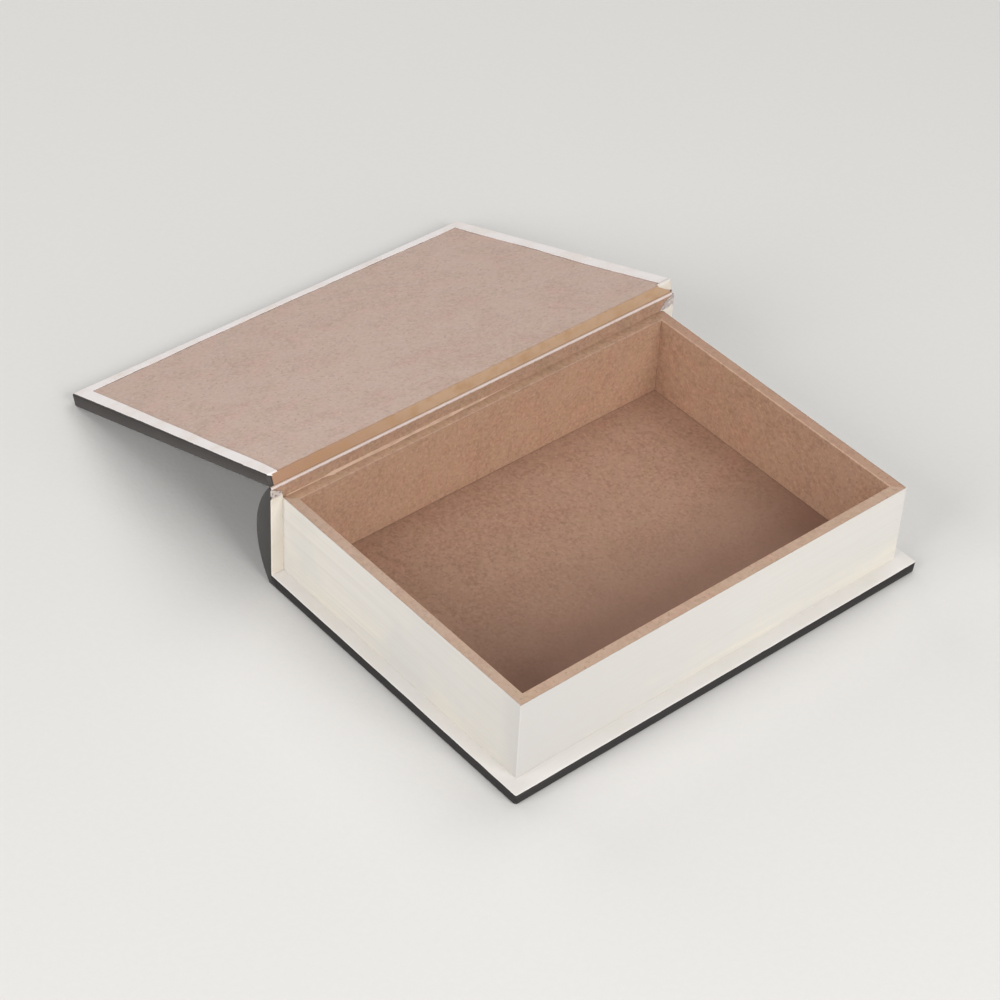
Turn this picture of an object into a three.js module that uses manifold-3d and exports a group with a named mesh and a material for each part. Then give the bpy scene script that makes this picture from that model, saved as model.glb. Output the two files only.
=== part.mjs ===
// A storage box made as a book, standing open. A shallow fibreboard tray stands on the lower cover,
// with paper on three of its walls that stands for the edges of the leaves. The case round it is two
// cover boards and a round-backed spine board in one covering, and the upper cover is the lid.
//
// Millimetres. X runs across the book, from the spine (-X) to the fore edge (+X). Y runs along the
// spine, from the head (-Y) to the tail (+Y). Z is up. The origin is the middle of the lower cover's
// underside. The lid is shown folded right back over the spine, with its free edge on the table.

import * as THREE from 'three';
import { mergeVertices } from 'three/addons/utils/BufferGeometryUtils.js';
import Module from 'manifold-3d';

const wasm = await Module();
wasm.setup();

// Thickness of the materials
const BOARD = 6.0;
const CLOTH = 0.5;
const PAPER = 0.2;
const GLUE = 0.1;

// The tray, measured over its page papers, and the height of its rim above the lower cover
const BLOCK_LENGTH = 255.5;
const BLOCK_WIDTH = 183.5;
const RIM_HEIGHT = 48.0;

// How far the lower cover stands out past the tray
const SQUARE_AT_ENDS = 7.25;
const SQUARE_AT_FORE_EDGE = 8.5;

// The covers: corners in plan, the softened outer edge, and the crisper inner edge
const CORNER_RADIUS = 2.5;
const OUTER_EDGE_RADIUS = 1.2;
const INNER_EDGE_RADIUS = 0.4;

// The spine: its full height, how far its round stands out, and the narrow flats above and below
const SPINE_HEIGHT = 63.6;
const SPINE_DEPTH = 12.5;
const SPINE_FLAT = 2.0;
const SPINE_END_RADIUS = 0.9;
const SPINE_FLAP = 7.0;

// The hinge line, and where the closed lid lies against it and above the rim
const PIVOT_FROM_SPINE = 0.8;
const PIVOT_ABOVE_LID = 0.9;
const PIVOT_TO_LID_EDGE = 0.6;
const LID_CLEARANCE = 0.9;

// The white flaps on the lid's inner face, cut by hand: width at the hinge end and at the free end,
// and the fore edge flap's width at the head and at the tail
const HEAD_FLAP = [6.6, 8.6];
const TAIL_FLAP = [8.0, 8.0];
const FORE_EDGE_FLAP = [6.8, 8.4];

// The bending strip of covering between spine and lid
const HINGE_BULGE = 0.55;
const HINGE_CLEARANCE = 0.2;

// Smoothness of the round shapes, and how far a cutting shape runs past what it cuts
const ARC_STEPS = 20;
const CORNER_STEPS = 5;
const ROUND_STEPS = 4;
const PAST = 10;

// Sizes that follow from those above
const WRAP = CLOTH + GLUE;
const COVER = BOARD + 2 * WRAP;
const CASE_LENGTH = BLOCK_LENGTH + 2 * SQUARE_AT_ENDS;
const CASE_WIDTH = BLOCK_WIDTH + SQUARE_AT_FORE_EDGE;
const SPINE_X = -CASE_WIDTH / 2;
const RIM_Z = COVER + RIM_HEIGHT;
const FLOOR_Z = WRAP + BOARD;
const PIVOT_X = SPINE_X + PIVOT_FROM_SPINE;
const PIVOT_Z = RIM_Z + LID_CLEARANCE + COVER + PIVOT_ABOVE_LID;
const BASE_WIDTH = CASE_WIDTH - GLUE;
const LID_WIDTH = CASE_WIDTH - PIVOT_FROM_SPINE - PIVOT_TO_LID_EDGE;
const LID_SLOPE = slopeToTable();

/** A standard material from an sRGB colour. */
function finish(color, roughness) {
  return new THREE.MeshStandardMaterial({ color, roughness, metalness: 0 });
}

const WALL_BOARD = finish('#a9846b', 0.85);
const FLOOR_BOARD = finish('#957562', 0.85);
const LID_BOARD = finish('#bba394', 0.85);
const SPINE_BOARD = finish('#ad8a6f', 0.85);
const DARK_COVERING = finish('#4b4b49', 0.6);
const WHITE_FLAP = finish('#e3dfda', 0.7);
const HINGE_STRIP = finish('#ede3e0', 0.8);
const PAGE_PAPER = finish('#e1ddd4', 0.9);

/** The slope below level at which the open lid's rounded free edge just meets the table. */
function slopeToTable() {
  const across = PIVOT_TO_LID_EDGE + LID_WIDTH - OUTER_EDGE_RADIUS;
  const up = PIVOT_ABOVE_LID + OUTER_EDGE_RADIUS;
  const drop = PIVOT_Z - OUTER_EDGE_RADIUS;
  return Math.atan2(up, across) + Math.asin(drop / Math.hypot(across, up));
}

/** A closed three.js geometry as a solid for cutting and joining. */
function solid(geometry) {
  const bare = geometry.clone();
  bare.deleteAttribute('normal');
  bare.deleteAttribute('uv');
  const merged = mergeVertices(bare, 1e-5);
  const vertProperties = merged.attributes.position.array;
  const triVerts = new Uint32Array(merged.index.array);
  return new wasm.Manifold(new wasm.Mesh({ numProp: 3, vertProperties, triVerts }));
}

/** A solid as a named mesh. */
function piece(name, body, material) {
  const { vertProperties, triVerts } = body.getMesh();
  const geometry = new THREE.BufferGeometry();
  geometry.setAttribute('position', new THREE.BufferAttribute(vertProperties, 3));
  geometry.setIndex(new THREE.BufferAttribute(triVerts, 1));
  geometry.computeVertexNormals();
  const mesh = new THREE.Mesh(geometry, material);
  mesh.name = name;
  return mesh;
}

/** A block between two corners. */
function slab([x0, y0, z0], [x1, y1, z1]) {
  const box = new THREE.BoxGeometry(x1 - x0, y1 - y0, z1 - z0);
  return solid(box.translate((x0 + x1) / 2, (y0 + y1) / 2, (z0 + z1) / 2));
}

/** A shape in the XY plane, raised from z0 to z1. */
function prism(shape, z0, z1, curveSegments) {
  const depth = z1 - z0;
  const geometry = new THREE.ExtrudeGeometry(shape, { depth, bevelEnabled: false, curveSegments });
  return solid(geometry.translate(0, 0, z0));
}

/** A shape in the XY plane, raised from z = 0 to the height, with the edges of both ends rounded. */
function roundedPrism(shape, height, radius, curveSegments) {
  const geometry = new THREE.ExtrudeGeometry(shape, {
    depth: height - 2 * radius,
    bevelThickness: radius,
    bevelSize: radius,
    bevelOffset: -radius,
    bevelSegments: ROUND_STEPS,
    curveSegments,
  });
  return solid(geometry.translate(0, 0, radius));
}

/** Turns a solid raised along Z so that it lies along Y, centred, with its drawn Y pointing up. */
function layAlongSpine(body, length) {
  return body.rotate([90, 0, 0]).translate([0, length / 2, 0]);
}

/** A straight-sided outline through points. */
function outline(points) {
  return new THREE.Shape(points.map(([x, y]) => new THREE.Vector2(x, y)));
}

/** A cover's plan: square past its hinge edge at x = 0, with round corners at its fore edge. */
function coverPlan(width, inset) {
  const radius = CORNER_RADIUS - inset;
  const x = width - inset;
  const y = CASE_LENGTH / 2 - inset;
  const plan = new THREE.Shape();
  plan.moveTo(-PAST, -y);
  plan.lineTo(x - radius, -y);
  plan.absarc(x - radius, -y + radius, radius, -Math.PI / 2, 0, false);
  plan.absarc(x - radius, y - radius, radius, 0, Math.PI / 2, false);
  plan.lineTo(-PAST, y);
  plan.closePath();
  return plan;
}

/** The outside of a covered board, with its hinge edge at x = 0 and its outer face at z = 0. */
function coverBlank(width) {
  const soft = roundedPrism(coverPlan(width, 0), COVER + PAST, OUTER_EDGE_RADIUS, CORNER_STEPS);
  const crisp = roundedPrism(coverPlan(width, 0), COVER + PAST, INNER_EDGE_RADIUS, CORNER_STEPS);
  const room = slab([0, -CASE_LENGTH, 0], [width + PAST, CASE_LENGTH, COVER]);
  return soft.intersect(crisp.translate([0, 0, -PAST])).intersect(room);
}

/** The bare board of a cover. */
function coverBoard(width) {
  const whole = prism(coverPlan(width, WRAP), WRAP, WRAP + BOARD, CORNER_STEPS);
  return whole.intersect(slab([0, -CASE_LENGTH, 0], [width, CASE_LENGTH, COVER]));
}

/** The dark covering of a cover: its outer face and its three edges. */
function coverCloth(width) {
  const below = slab([0, -CASE_LENGTH, 0], [width + PAST, CASE_LENGTH, WRAP + BOARD]);
  const pocket = prism(coverPlan(width, CLOTH), CLOTH, COVER + PAST, CORNER_STEPS);
  return coverBlank(width).intersect(below).subtract(pocket);
}

/** The three white flaps of a cover, mitred at the corners. Each width is [from, to] along it. */
function coverFlaps(width, low, high, fore) {
  const y = CASE_LENGTH / 2;
  const free = [[width - fore[0], -y + low[1]], [width - fore[1], y - high[1]]];
  const shapes = {
    low: [[0, -y], [width - GLUE, -y], [free[0][0] - GLUE, free[0][1]], [0, -y + low[0]]],
    high: [[0, y], [0, y - high[0]], [free[1][0] - GLUE, free[1][1]], [width - GLUE, y]],
    fore: [[width, -y + GLUE], [width, y - GLUE], [free[1][0], free[1][1] + GLUE],
      [free[0][0], free[0][1] - GLUE]],
  };
  const cut = (points) => coverBlank(width).intersect(prism(outline(points), COVER - CLOTH, COVER));
  return { low: cut(shapes.low), high: cut(shapes.high), fore: cut(shapes.fore) };
}

/** The lower cover. Its flaps end at the foot of the tray. */
function makeBase() {
  const base = new THREE.Group();
  base.position.set(SPINE_X + GLUE, 0, 0);
  const ends = SQUARE_AT_ENDS - 2 * GLUE;
  const fore = SQUARE_AT_FORE_EDGE - 2 * GLUE;
  const flaps = coverFlaps(BASE_WIDTH, [ends, ends], [ends, ends], [fore, fore]);
  base.add(
    piece('base_board', coverBoard(BASE_WIDTH), FLOOR_BOARD),
    piece('base_cover_cloth', coverCloth(BASE_WIDTH), DARK_COVERING),
    piece('base_turn_in_head', flaps.low, WHITE_FLAP),
    piece('base_turn_in_tail', flaps.high, WHITE_FLAP),
    piece('base_turn_in_fore_edge', flaps.fore, WHITE_FLAP),
  );
  return base;
}

/**
 * The lid, hung on its pivot. It is made like the base, inner face up, and turned half round to lie
 * on the other side of the spine, so in its own frame its head is at +Y.
 */
function makeLid() {
  const lid = new THREE.Group();
  lid.position.set(PIVOT_X, 0, PIVOT_Z);
  lid.rotation.set(0, -LID_SLOPE, Math.PI);
  const cover = new THREE.Group();
  cover.position.set(PIVOT_TO_LID_EDGE, 0, PIVOT_ABOVE_LID);
  const fromTail = [FORE_EDGE_FLAP[1], FORE_EDGE_FLAP[0]];
  const flaps = coverFlaps(LID_WIDTH, TAIL_FLAP, HEAD_FLAP, fromTail);
  cover.add(
    piece('lid_board', coverBoard(LID_WIDTH), LID_BOARD),
    piece('lid_cover_cloth', coverCloth(LID_WIDTH), DARK_COVERING),
    piece('lid_turn_in_head', flaps.high, WHITE_FLAP),
    piece('lid_turn_in_tail', flaps.low, WHITE_FLAP),
    piece('lid_turn_in_fore_edge', flaps.fore, WHITE_FLAP),
  );
  lid.add(cover);
  return lid;
}

/** A tray wall with mitred ends, standing on the floor: outer face along y = 0, inner at y = BOARD. */
function mitredWall(length) {
  const half = length / 2 - GLUE;
  const points = [[-half, 0], [half, 0], [half - BOARD, BOARD], [-half + BOARD, BOARD]];
  return prism(outline(points), FLOOR_Z + GLUE, RIM_Z);
}

/** The four walls of the tray. */
function makeTray() {
  const tray = new THREE.Group();
  const skin = PAPER + GLUE;
  const west = SPINE_X + GLUE;
  const east = SPINE_X + BLOCK_WIDTH - skin;
  const end = BLOCK_LENGTH / 2 - skin;
  const middle = (west + east) / 2;
  const walls = [
    ['head_wall', east - west, middle, -end, 0],
    ['tail_wall', east - west, middle, end, Math.PI],
    ['fore_edge_wall', 2 * end, east, 0, Math.PI / 2],
    ['spine_wall', 2 * end, west, 0, -Math.PI / 2],
  ];
  for (const [name, length, x, y, turn] of walls) {
    const wall = piece(name, mitredWall(length), WALL_BOARD);
    wall.position.set(x, y, 0);
    wall.rotation.z = turn;
    tray.add(wall);
  }
  return tray;
}

/** The page papers on the head, the tail and the fore edge of the tray. */
function makePages() {
  const pages = new THREE.Group();
  const west = SPINE_X + GLUE;
  const east = SPINE_X + BLOCK_WIDTH;
  const end = BLOCK_LENGTH / 2;
  const foot = FLOOR_Z + GLUE;
  const top = RIM_Z;
  const beside = east - PAPER - GLUE;
  pages.add(
    piece('head_pages', slab([west, -end, foot], [beside, PAPER - end, top]), PAGE_PAPER),
    piece('tail_pages', slab([west, end - PAPER, foot], [beside, end, top]), PAGE_PAPER),
    piece('fore_edge_pages', slab([east - PAPER, -end, foot], [east, end, top]), PAGE_PAPER),
  );
  return pages;
}

/** The spine's D section, drawn with Y up: flat at x = 0, round towards -X, less the inset. */
function spineSection(inset, past) {
  const half = SPINE_HEIGHT / 2;
  const rise = SPINE_DEPTH - SPINE_FLAT;
  const radius = (half * half + rise * rise) / (2 * rise);
  const centre = radius - SPINE_DEPTH;
  const reach = half - inset;
  const angle = Math.asin(reach / (radius - inset));
  const section = new THREE.Shape();
  section.moveTo(past, half - reach);
  section.lineTo(past, half + reach);
  section.absarc(centre, half, radius - inset, Math.PI - angle, Math.PI + angle, false);
  section.closePath();
  return section;
}

/** The spine board, its covering and its two white flaps. */
function makeSpine() {
  const spine = new THREE.Group();
  spine.position.set(SPINE_X, 0, 0);
  const boardLength = CASE_LENGTH - 2 * WRAP;
  const pocketLength = CASE_LENGTH - 2 * CLOTH;
  const bare = prism(spineSection(WRAP, 0), 0, boardLength, ARC_STEPS);
  const hollow = prism(spineSection(CLOTH, PAST), 0, pocketLength, ARC_STEPS);
  const round = roundedPrism(spineSection(0, PAST), CASE_LENGTH, SPINE_END_RADIUS, ARC_STEPS);
  const board = layAlongSpine(bare, boardLength);
  const pocket = layAlongSpine(hollow, pocketLength);
  const inside = slab([-2 * SPINE_DEPTH, -CASE_LENGTH, -PAST], [0, CASE_LENGTH, SPINE_HEIGHT + PAST]);
  const cloth = layAlongSpine(round, CASE_LENGTH).intersect(inside).subtract(pocket);
  spine.add(
    piece('spine_board', board, SPINE_BOARD),
    piece('spine_cover_cloth', cloth, DARK_COVERING),
  );
  for (const [name, side] of [['spine_turn_in_head', -1], ['spine_turn_in_tail', 1]]) {
    const outer = side * (CASE_LENGTH / 2 - INNER_EDGE_RADIUS);
    const inner = side * (CASE_LENGTH / 2 - SPINE_FLAP);
    const [y0, y1] = [Math.min(outer, inner), Math.max(outer, inner)];
    const flap = slab([GLUE, y0, COVER + GLUE], [WRAP, y1, SPINE_HEIGHT - INNER_EDGE_RADIUS]);
    spine.add(piece(name, flap, WHITE_FLAP));
  }
  return spine;
}

/** The strip of covering that bends: a shallow bow from the spine's top up to the lid's corner. */
function makeHinge() {
  const foot = SPINE_HEIGHT + HINGE_CLEARANCE;
  const head = PIVOT_Z + PIVOT_ABOVE_LID * Math.cos(LID_SLOPE) - HINGE_CLEARANCE;
  const x = SPINE_X + HINGE_CLEARANCE;
  const middle = (foot + head) / 2;
  const section = new THREE.Shape();
  section.moveTo(x, foot);
  section.lineTo(x + CLOTH, foot);
  section.quadraticCurveTo(x + CLOTH + 2 * HINGE_BULGE, middle, x + CLOTH, head);
  section.lineTo(x, head);
  section.quadraticCurveTo(x + 2 * HINGE_BULGE, middle, x, foot);
  const length = CASE_LENGTH - 2 * INNER_EDGE_RADIUS;
  const strip = prism(section, 0, length, CORNER_STEPS);
  return piece('hinge_cloth', layAlongSpine(strip, length), HINGE_STRIP);
}

const box = new THREE.Group();
box.add(makeBase(), makeTray(), makePages(), makeSpine(), makeHinge(), makeLid());

export default box;
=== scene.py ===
"""The looks of a book-shaped storage box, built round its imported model.

Metres, in the model's own frame. X runs across the book from the spine to the fore edge, Y runs along
the spine from the head to the tail, and Z is up. The box stands open on a table, with its lid folded
right back over the spine. Sizes are named in millimetres and turned to metres by MM.
"""

import logging
import math
from dataclasses import dataclass
from enum import Enum

import bmesh
import bpy
from mathutils import Matrix, Quaternion, Vector, noise


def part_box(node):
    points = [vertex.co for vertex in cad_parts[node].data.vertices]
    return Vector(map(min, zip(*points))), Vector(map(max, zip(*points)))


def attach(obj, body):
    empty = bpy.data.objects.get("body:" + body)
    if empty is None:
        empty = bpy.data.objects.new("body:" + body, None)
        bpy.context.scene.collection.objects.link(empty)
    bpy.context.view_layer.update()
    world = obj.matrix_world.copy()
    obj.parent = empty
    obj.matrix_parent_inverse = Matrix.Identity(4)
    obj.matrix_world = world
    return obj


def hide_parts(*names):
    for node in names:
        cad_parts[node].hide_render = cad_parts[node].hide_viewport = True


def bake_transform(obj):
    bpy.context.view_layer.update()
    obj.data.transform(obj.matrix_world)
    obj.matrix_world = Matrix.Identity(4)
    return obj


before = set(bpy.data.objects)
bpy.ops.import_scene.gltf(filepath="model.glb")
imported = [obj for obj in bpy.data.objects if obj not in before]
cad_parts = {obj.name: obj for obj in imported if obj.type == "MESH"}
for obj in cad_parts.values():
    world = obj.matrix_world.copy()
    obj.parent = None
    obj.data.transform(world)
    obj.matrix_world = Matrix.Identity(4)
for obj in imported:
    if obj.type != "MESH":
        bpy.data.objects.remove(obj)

MM = 0.001
LOG = logging.getLogger("book_box")

Colour = tuple[float, float, float, float]
Value = bpy.types.Node | bpy.types.NodeSocket
Tints = list[tuple[Value, Colour]]
Tree = bpy.types.NodeTree
Object = bpy.types.Object


def linear(code: str, tinge: tuple[float, float, float] = (1.0, 1.0, 1.0)) -> Colour:
    """An sRGB hex colour as linear RGBA, with its red, green and blue multiplied by a tinge."""
    channels = [int(code[i : i + 2], 16) / 255 for i in (1, 3, 5)]
    channels = [c / 12.92 if c <= 0.04045 else ((c + 0.055) / 1.055) ** 2.4 for c in channels]
    return (*[min(c * t, 1.0) for c, t in zip(channels, tinge)], 1.0)


def add_node(tree: Tree, kind: str, inputs: dict | None = None, **settings) -> bpy.types.Node:
    """Adds a node with its settings, values and links.

    Args:
        tree: the node tree that it goes into.
        kind: Blender's name for the node.
        inputs: for each input's name or number, a value, or an output or a node to link from.
        settings: the node's own properties.

    Returns:
        The new node.
    """
    made = tree.nodes.new(kind)
    for name, value in settings.items():
        setattr(made, name, value)
    for key, value in (inputs or {}).items():
        if isinstance(value, bpy.types.Node):
            value = next(output for output in value.outputs if output.enabled)
        if isinstance(value, bpy.types.NodeSocket):
            tree.links.new(value, made.inputs[key])
        else:
            made.inputs[key].default_value = value
    return made


def mottle(
    tree: Tree, point: Value, size: float | tuple[float, float, float], low: float, high: float,
    detail: float = 2.0, over: Value | None = None,
) -> Value:
    """A soft random pattern.

    Args:
        tree: the material's node tree.
        point: the surface point in millimetres.
        size: how long a spot is, or its length along X, Y and Z, in millimetres.
        low: the value of the darkest spots.
        high: the value of the lightest spots.
        detail: how many finer layers lie on the spots.
        over: another pattern that this one is added to.

    Returns:
        The pattern's value.
    """
    spot = size if isinstance(size, tuple) else (size,) * 3
    scaled = add_node(tree, "ShaderNodeVectorMath", {0: point, 1: spot}, operation="DIVIDE")
    inputs = {"Vector": scaled, "Scale": 1.0, "Detail": detail, "Roughness": 0.55}
    grey = add_node(tree, "ShaderNodeTexNoise", inputs)
    inputs = {"Value": grey, "From Min": 0.28, "From Max": 0.72, "To Min": low, "To Max": high}
    spots = add_node(tree, "ShaderNodeMapRange", inputs)
    if over is None:
        return spots
    return add_node(tree, "ShaderNodeMath", {0: over, 1: spots}, operation="ADD")


def near_arris(tree: Tree, point: Value, low: Vector, high: Vector, width: float) -> Value:
    """How near a point on a box's surface is to one of its arrises: 1 on it, 0 from the width away.

    Args:
        tree: the material's node tree.
        point: the surface point in millimetres.
        low: the box's lowest corner in millimetres.
        high: the box's highest corner in millimetres.
        width: how far from the arris the mask reaches, in millimetres.

    Returns:
        The mask's value.
    """
    centred = add_node(tree, "ShaderNodeVectorMath", {0: point, 1: (low + high) / 2}, operation="SUBTRACT")
    spread = add_node(tree, "ShaderNodeVectorMath", {0: centred}, operation="ABSOLUTE")
    depth = add_node(tree, "ShaderNodeVectorMath", {0: spread, 1: (high - low) / 2}, operation="SUBTRACT")
    x, y, z = add_node(tree, "ShaderNodeSeparateXYZ", {0: depth}).outputs
    greater = add_node(tree, "ShaderNodeMath", {0: x, 1: y}, operation="MAXIMUM")
    smaller = add_node(tree, "ShaderNodeMath", {0: x, 1: y}, operation="MINIMUM")
    lesser = add_node(tree, "ShaderNodeMath", {0: greater, 1: z}, operation="MINIMUM")
    middle = add_node(tree, "ShaderNodeMath", {0: smaller, 1: lesser}, operation="MAXIMUM")
    inputs = {"Value": middle, "From Min": -width, "From Max": 0.0}
    return add_node(tree, "ShaderNodeMapRange", inputs, interpolation_type="SMOOTHSTEP")


@dataclass(frozen=True)
class Look:
    """What a finish gives its shader: a ground colour with tints over it, roughness, and relief in mm."""

    ground: Colour
    tints: Tints
    roughness: Value
    relief: Value


@dataclass(frozen=True)
class Finish:
    """A finish that a piece is given, in the frame of the sub-assembly that the piece belongs to."""

    name: str

    def pattern(self, tree: Tree, point: Value) -> Look:
        """The look of the surface at a point in millimetres."""
        raise NotImplementedError

    def constants(self) -> dict[str, float]:
        """Shader values that are the same all over the surface."""
        return {}

    def material(self, placing: Matrix | None = None) -> bpy.types.Material:
        """Builds the material.

        Args:
            placing: from the sub-assembly's own frame to the model's. Without it, the pattern follows
                the piece's own UV map, which is in millimetres.

        Returns:
            The new material.
        """
        made = bpy.data.materials.new(self.name)
        made.use_nodes = True
        tree = made.node_tree
        tree.nodes.clear()
        point = add_node(tree, "ShaderNodeTexCoord").outputs["UV"]
        if placing is not None:
            back = placing.inverted()
            point = add_node(tree, "ShaderNodeMapping", {
                "Vector": point.node.outputs["Object"], "Location": back.translation / MM,
                "Rotation": back.to_euler(), "Scale": (1 / MM,) * 3,
            })
        look = self.pattern(tree, point)
        colour: Value | Colour = look.ground
        for amount, tint in look.tints:
            inputs = {"Factor": amount, "A": colour, "B": tint}
            colour = add_node(tree, "ShaderNodeMix", inputs, data_type="RGBA")
        bump = add_node(tree, "ShaderNodeBump", {"Strength": 1.0, "Distance": MM, "Height": look.relief})
        inputs = {"Base Color": colour, "Roughness": look.roughness, "Normal": bump}
        shader = add_node(tree, "ShaderNodeBsdfPrincipled", {**inputs, **self.constants()})
        add_node(tree, "ShaderNodeOutputMaterial", {"Surface": shader})
        return made


@dataclass(frozen=True)
class Fibreboard(Finish):
    """Bare medium density fibreboard: pressed wood fibre, brown and dull, softly clouded."""

    shade: str
    fibre: float | tuple[float, float, float] = 1.5
    cloud: float = 15.0
    strength: float = 1.0
    grain: float = 1.0

    def pattern(self, tree: Tree, point: Value) -> Look:
        """Rosy and straw clouds from the pressing, fine fibre, and a few specks of bark."""
        force, grain = self.strength, self.grain
        rosy = mottle(tree, point, self.cloud, -0.5 * force, 0.8 * force)
        straw = mottle(tree, point, 0.67 * self.cloud, -0.7 * force, 0.8 * force)
        shadow = mottle(tree, point, 16.0, -0.10 * force, 0.14 * force)
        shadow = mottle(tree, point, 3.6, -0.17 * grain, 0.23 * grain, over=shadow)
        shadow = mottle(tree, point, self.fibre, -0.19 * grain, 0.26 * grain, over=shadow)
        fluff = mottle(tree, point, 2.0, -0.7 * grain, 0.7 * grain)
        bark = mottle(tree, point, 1.8, -7.4, 1.2, 1.0)
        tints = [
            (rosy, linear(self.shade, (1.05, 0.96, 0.95))),
            (straw, linear(self.shade, (0.97, 1.0, 0.93))),
            (shadow, linear(self.shade, (0.48, 0.44, 0.42))),
            (fluff, linear(self.shade, (1.2, 1.22, 1.24))),
            (bark, linear(self.shade, (0.82, 0.79, 0.77))),
        ]
        roughness = mottle(tree, point, self.fibre, 0.78, 0.92)
        relief = mottle(tree, point, self.fibre, -0.012, 0.012, 3.0)
        return Look(linear(self.shade), tints, roughness, relief)

    def constants(self) -> dict[str, float]:
        """Dull loose fibre has little gloss."""
        return {"Specular IOR Level": 0.25}


@dataclass(frozen=True)
class LidBoard(Fibreboard):
    """The lid's bare board, whose hinge edge is sawn and shows the browner fibre inside the sheet."""

    sawn: str = "#b99a7e"
    edge: float = 1.25
    brown_from: float = 30.0
    brown_over: float = 80.0

    def pattern(self, tree: Tree, point: Value) -> Look:
        """The face's fibre, turning to the sawn edge's colour in an uneven line along the hinge."""
        look = super().pattern(tree, point)
        across, along, _ = add_node(tree, "ShaderNodeSeparateXYZ", {0: point}).outputs
        uneven = mottle(tree, point, (40.0, 7.0, 40.0), -0.35, 0.35, over=across)
        inputs = {"Value": uneven, "From Min": self.edge - 0.7, "From Max": self.edge + 0.7}
        inputs |= {"To Min": 1.0, "To Max": 0.0}
        cut = add_node(tree, "ShaderNodeMapRange", inputs, interpolation_type="SMOOTHSTEP")
        burr = mottle(tree, point, (6.0, 9.0, 6.0), -0.45, 0.75, 3.0)
        burnt = add_node(tree, "ShaderNodeMath", {0: burr, 1: cut}, operation="MULTIPLY")
        inputs = {"Value": along, "From Min": self.brown_from}
        inputs |= {"From Max": self.brown_from + self.brown_over}
        near_head = add_node(tree, "ShaderNodeMapRange", inputs)
        brown = add_node(tree, "ShaderNodeMath", {0: near_head, 1: cut}, operation="MULTIPLY")
        tints = [
            *look.tints,
            (cut, linear(self.sawn)),
            (brown, linear(self.sawn, (0.83, 0.72, 0.70))),
            (burnt, linear(self.sawn, (0.86, 0.76, 0.62))),
        ]
        return Look(look.ground, tints, look.roughness, look.relief)


@dataclass(frozen=True)
class FloorBoard(Fibreboard):
    """The tray's floor, with painted shade that darkens it towards the fore edge, as the photograph shows
    it.
    """

    light_to: float = 68.0
    dark_from: float = 140.0
    darkest: float = 0.9
    dark: tuple[float, float, float] = (0.74, 0.71, 0.74)

    def pattern(self, tree: Tree, point: Value) -> Look:
        """The board's fibre with a soft painted shade over the front of the tray."""
        look = super().pattern(tree, point)
        across = add_node(tree, "ShaderNodeSeparateXYZ", {0: point}).outputs[0]
        uneven = mottle(tree, point, 30.0, -9.0, 9.0, over=across)
        inputs = {"Value": uneven, "From Min": self.light_to, "From Max": self.dark_from}
        # painted shade: the floor darkens towards the fore edge
        painted_shade = add_node(tree, "ShaderNodeMapRange", {**inputs, "To Max": self.darkest})
        tints = [*look.tints, (painted_shade, linear(self.shade, self.dark))]
        return Look(look.ground, tints, look.roughness, look.relief)


@dataclass(frozen=True)
class CoatedCloth(Finish):
    """Charcoal coated book cloth: an even matt film over a fine weave, rubbed paler on the arrises."""

    low: Vector
    high: Vector
    shade: str = "#454442"
    thread: float = 0.7
    worn_width: float = 1.3

    def pattern(self, tree: Tree, point: Value) -> Look:
        """A weave of crossing threads, drawn a little coarser than life so that it shows."""
        film = mottle(tree, point, 30.0, -0.2, 0.6)
        film = mottle(tree, point, 1.2, -0.15, 0.15, 3.0, over=film)
        pace = 2 * math.pi / self.thread
        steps = add_node(tree, "ShaderNodeVectorMath", {0: point, "Scale": pace}, operation="SCALE")
        waves = add_node(tree, "ShaderNodeVectorMath", {0: steps}, operation="SINE")
        x, y, z = add_node(tree, "ShaderNodeSeparateXYZ", {0: waves}).outputs
        turned = add_node(tree, "ShaderNodeCombineXYZ", {0: y, 1: z, 2: x})
        weave = add_node(tree, "ShaderNodeVectorMath", {0: waves, 1: turned}, operation="DOT_PRODUCT")
        worn = near_arris(tree, point, self.low, self.high, self.worn_width)
        patchy = mottle(tree, point, 7.0, -0.1, 0.6)
        rubbed = add_node(tree, "ShaderNodeMath", {0: worn, 1: patchy}, operation="MULTIPLY")
        tints = [
            (film, linear(self.shade, (1.3, 1.3, 1.3))),
            (rubbed, linear(self.shade, (2.2, 2.2, 2.15))),
        ]
        roughness = mottle(tree, point, 1.2, 0.5, 0.62, 3.0)
        relief = add_node(tree, "ShaderNodeMath", {0: weave, 1: 0.004}, operation="MULTIPLY")
        return Look(linear(self.shade), tints, roughness, relief)

    def constants(self) -> dict[str, float]:
        """The film has a soft sheen at a glance."""
        return {"Specular IOR Level": 0.4, "Sheen Weight": 0.05, "Sheen Roughness": 0.5}


@dataclass(frozen=True)
class UnprintedCloth(Finish):
    """The unprinted margin of the book cloth, turned in and glued: white, matt, a little soiled."""

    white: str = "#e4dfda"
    soiled: tuple[float, float, float] = (0.93, 0.89, 0.84)

    def pattern(self, tree: Tree, point: Value) -> Look:
        """Off-white with faint soiling and the tooth of the cloth, and whatever else marks it."""
        soil = mottle(tree, point, 16.0, -0.5, 1.0)
        soil = mottle(tree, point, 1.6, -0.25, 0.25, 3.0, over=soil)
        tints = [(soil, linear(self.white, self.soiled)), *self.marks(tree, point)]
        roughness = mottle(tree, point, 0.9, 0.64, 0.76, 3.0)
        relief = mottle(tree, point, 0.9, -0.007, 0.007, 3.0)
        return Look(linear(self.white), tints, roughness, relief)

    def marks(self, tree: Tree, point: Value) -> Tints:
        """Anything that marks the cloth in one place."""
        return []

    def constants(self) -> dict[str, float]:
        """Uncoated cloth backing has little gloss."""
        return {"Specular IOR Level": 0.3}


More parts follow.
